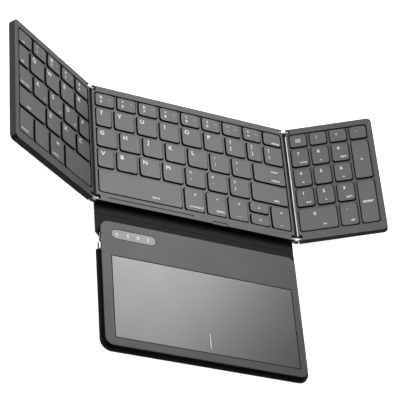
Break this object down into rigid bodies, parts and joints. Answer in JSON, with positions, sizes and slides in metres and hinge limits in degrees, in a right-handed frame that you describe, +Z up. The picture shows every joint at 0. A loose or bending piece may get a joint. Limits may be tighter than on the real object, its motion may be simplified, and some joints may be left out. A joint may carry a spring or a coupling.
{
  "type": "folding keyboard",
  "caption": "Pocket keyboard in three hinged panels with a number pad wing and a touchpad panel on a soft cover that folds over the closed stack.",
  "frame": {"origin": "under the middle of the middle key panel, on the plane of its rubber feet", "axes": "+X to the right along the key rows, +Y towards the back, +Z up"},
  "size_m": [0.2973, 0.2173, 0.0565],
  "materials": {
    "case_black": "fine matt grain",
    "frame_grey": "fine satin paint",
    "key_grey": "fine matt paint",
    "steel_sheet": "pressed sheet",
    "membrane_film": "printed film",
    "dome_rubber": "moulded silicone",
    "scissor_white": "moulded",
    "chrome": "polished",
    "screw_steel": "plated",
    "cover_leather": "fine grained soft cover",
    "foot_rubber": "matt",
    "hinge_black": "satin",
    "plate_grey": "fine satin paint",
    "touch_film": "satin film",
    "circuit_board": "solder mask",
    "battery_foil": "foil pouch",
    "window_clear": "frosted",
    "lamp_white": "clear",
    "socket_steel": "drawn shell",
    "switch_grey": "moulded"
  },
  "bodies": {
    "middle_panel": {"center_case": "case_black", "center_frame": "frame_grey", "center_plate": "steel_sheet", "center_membrane": "membrane_film", "center_domes": "dome_rubber", "center_scissors": "scissor_white", "center_pins": "chrome", "center_screws": "screw_steel", "center_cover": "cover_leather", "center_feet": "foot_rubber"},
    "left_link": {"left_links": "chrome", "left_hinge_plate": "hinge_black"},
    "right_link": {"right_links": "chrome", "right_hinge_plate": "hinge_black"},
    "left_wing": {"left_case": "case_black", "left_frame": "frame_grey", "left_plate": "steel_sheet", "left_membrane": "membrane_film", "left_domes": "dome_rubber", "left_scissors": "scissor_white", "left_pins": "chrome", "left_screws": "screw_steel"},
    "right_wing": {"right_case": "case_black", "right_frame": "frame_grey", "right_plate": "steel_sheet", "right_membrane": "membrane_film", "right_domes": "dome_rubber", "right_scissors": "scissor_white", "right_pins": "chrome", "right_screws": "screw_steel"},
    "spine": {"spine_cover": "cover_leather"},
    "touch_panel": {"touch_cover": "cover_leather", "touch_feet": "foot_rubber", "touch_case": "case_black", "touch_plate": "plate_grey", "touch_surface": "touch_film", "touch_board": "circuit_board", "battery": "battery_foil", "main_board": "circuit_board", "status_window": "window_clear", "status_lamps": "lamp_white", "charging_socket": "socket_steel"},
    "switch_slider": {"power_switch": "switch_grey"},
    "center_number_keys_row": {"center_number_keys": "key_grey"},
    "center_upper_keys_row": {"center_upper_keys": "key_grey"},
    "center_home_keys_row": {"center_home_keys": "key_grey"},
    "center_lower_keys_row": {"center_lower_keys": "key_grey"},
    "center_space_keys_row": {"center_space_keys": "key_grey"},
    "left_number_keys_row": {"left_number_keys": "key_grey"},
    "left_upper_keys_row": {"left_upper_keys": "key_grey"},
    "left_home_keys_row": {"left_home_keys": "key_grey"},
    "left_lower_keys_row": {"left_lower_keys": "key_grey"},
    "left_space_keys_row": {"left_space_keys": "key_grey"},
    "right_operator_keys_row": {"right_operator_keys": "key_grey"},
    "right_789_keys_row": {"right_789_keys": "key_grey"},
    "right_456_keys_row": {"right_456_keys": "key_grey"},
    "right_123_keys_row": {"right_123_keys": "key_grey"},
    "right_zero_keys_row": {"right_zero_keys": "key_grey"},
    "right_tall_keys_row": {"right_tall_keys": "key_grey"}
  },
  "joints": [
    {"name": "left_link_hinge", "type": "hinge", "parent": "middle_panel", "child": "left_link", "pos_m": [-0.07755, 0, 0.00425], "axis": [0, 1, 0], "range_deg": [-16.5, 73.5]},
    {"name": "left_wing_hinge", "type": "hinge", "parent": "left_link", "child": "left_wing", "pos_m": [-0.08321, 0, 0.00593], "axis": [0, 1, 0], "range_deg": [-16.5, 73.5]},
    {"name": "right_link_hinge", "type": "hinge", "parent": "middle_panel", "child": "right_link", "pos_m": [0.07755, 0, 0.00425], "axis": [0, -1, 0], "range_deg": [-17, 73]},
    {"name": "right_wing_hinge", "type": "hinge", "parent": "right_link", "child": "right_wing", "pos_m": [0.08319, 0, 0.00598], "axis": [0, -1, 0], "range_deg": [-17, 73]},
    {"name": "spine_crease", "type": "hinge", "parent": "middle_panel", "child": "spine", "pos_m": [0, -0.05085, 0.0018], "axis": [-1, 0, 0], "range_deg": [0, 90]},
    {"name": "touch_crease", "type": "hinge", "parent": "spine", "child": "touch_panel", "pos_m": [0, -0.06615, 0.0018], "axis": [-1, 0, 0], "range_deg": [0, 90]},
    {"name": "power_switch_slide", "type": "slide", "parent": "touch_panel", "child": "switch_slider", "axis": [0, -1, 0], "range_m": [0, 0.0016]},
    {"name": "center_number_keys_press", "type": "slide", "parent": "middle_panel", "child": "center_number_keys_row", "axis": [0, 0, -1], "range_m": [0, 0.0012], "stiffness_N_per_m": 900, "springref_m": -0.0006},
    {"name": "center_upper_keys_press", "type": "slide", "parent": "middle_panel", "child": "center_upper_keys_row", "axis": [0, 0, -1], "range_m": [0, 0.0012], "stiffness_N_per_m": 900, "springref_m": -0.0006},
    {"name": "center_home_keys_press", "type": "slide", "parent": "middle_panel", "child": "center_home_keys_row", "axis": [0, 0, -1], "range_m": [0, 0.0012], "stiffness_N_per_m": 800, "springref_m": -0.0006},
    {"name": "center_lower_keys_press", "type": "slide", "parent": "middle_panel", "child": "center_lower_keys_row", "axis": [0, 0, -1], "range_m": [0, 0.0012], "stiffness_N_per_m": 800, "springref_m": -0.0006},
    {"name": "center_space_keys_press", "type": "slide", "parent": "middle_panel", "child": "center_space_keys_row", "axis": [0, 0, -1], "range_m": [0, 0.0012], "stiffness_N_per_m": 700, "springref_m": -0.0006},
    {"name": "left_number_keys_press", "type": "slide", "parent": "left_wing", "child": "left_number_keys_row", "axis": [-0.5446, 0, -0.8387], "range_m": [0, 0.0012], "stiffness_N_per_m": 500, "springref_m": -0.0006},
    {"name": "left_upper_keys_press", "type": "slide", "parent": "left_wing", "child": "left_upper_keys_row", "axis": [-0.5446, 0, -0.8387], "range_m": [0, 0.0012], "stiffness_N_per_m": 500, "springref_m": -0.0006},
    {"name": "left_home_keys_press", "type": "slide", "parent": "left_wing", "child": "left_home_keys_row", "axis": [-0.5446, 0, -0.8387], "range_m": [0, 0.0012], "stiffness_N_per_m": 500, "springref_m": -0.0006},
    {"name": "left_lower_keys_press", "type": "slide", "parent": "left_wing", "child": "left_lower_keys_row", "axis": [-0.5446, 0, -0.8387], "range_m": [0, 0.0012], "stiffness_N_per_m": 400, "springref_m": -0.0006},
    {"name": "left_space_keys_press", "type": "slide", "parent": "left_wing", "child": "left_space_keys_row", "axis": [-0.5446, 0, -0.8387], "range_m": [0, 0.0012], "stiffness_N_per_m": 400, "springref_m": -0.0006},
    {"name": "right_operator_keys_press", "type": "slide", "parent": "right_wing", "child": "right_operator_keys_row", "axis": [0.5592, 0, -0.829], "range_m": [0, 0.0012], "stiffness_N_per_m": 400, "springref_m": -0.0006},
    {"name": "right_789_keys_press", "type": "slide", "parent": "right_wing", "child": "right_789_keys_row", "axis": [0.5592, 0, -0.829], "range_m": [0, 0.0012], "stiffness_N_per_m": 300, "springref_m": -0.0006},
    {"name": "right_456_keys_press", "type": "slide", "parent": "right_wing", "child": "right_456_keys_row", "axis": [0.5592, 0, -0.829], "range_m": [0, 0.0012], "stiffness_N_per_m": 300, "springref_m": -0.0006},
    {"name": "right_123_keys_press", "type": "slide", "parent": "right_wing", "child": "right_123_keys_row", "axis": [0.5592, 0, -0.829], "range_m": [0, 0.0012], "stiffness_N_per_m": 300, "springref_m": -0.0006},
    {"name": "right_zero_keys_press", "type": "slide", "parent": "right_wing", "child": "right_zero_keys_row", "axis": [0.5592, 0, -0.829], "range_m": [0, 0.0012], "stiffness_N_per_m": 200, "springref_m": -0.0006},
    {"name": "right_tall_keys_press", "type": "slide", "parent": "right_wing", "child": "right_tall_keys_row", "axis": [0.5592, 0, -0.829], "range_m": [0, 0.0012], "stiffness_N_per_m": 200, "springref_m": -0.0006}
  ]
}
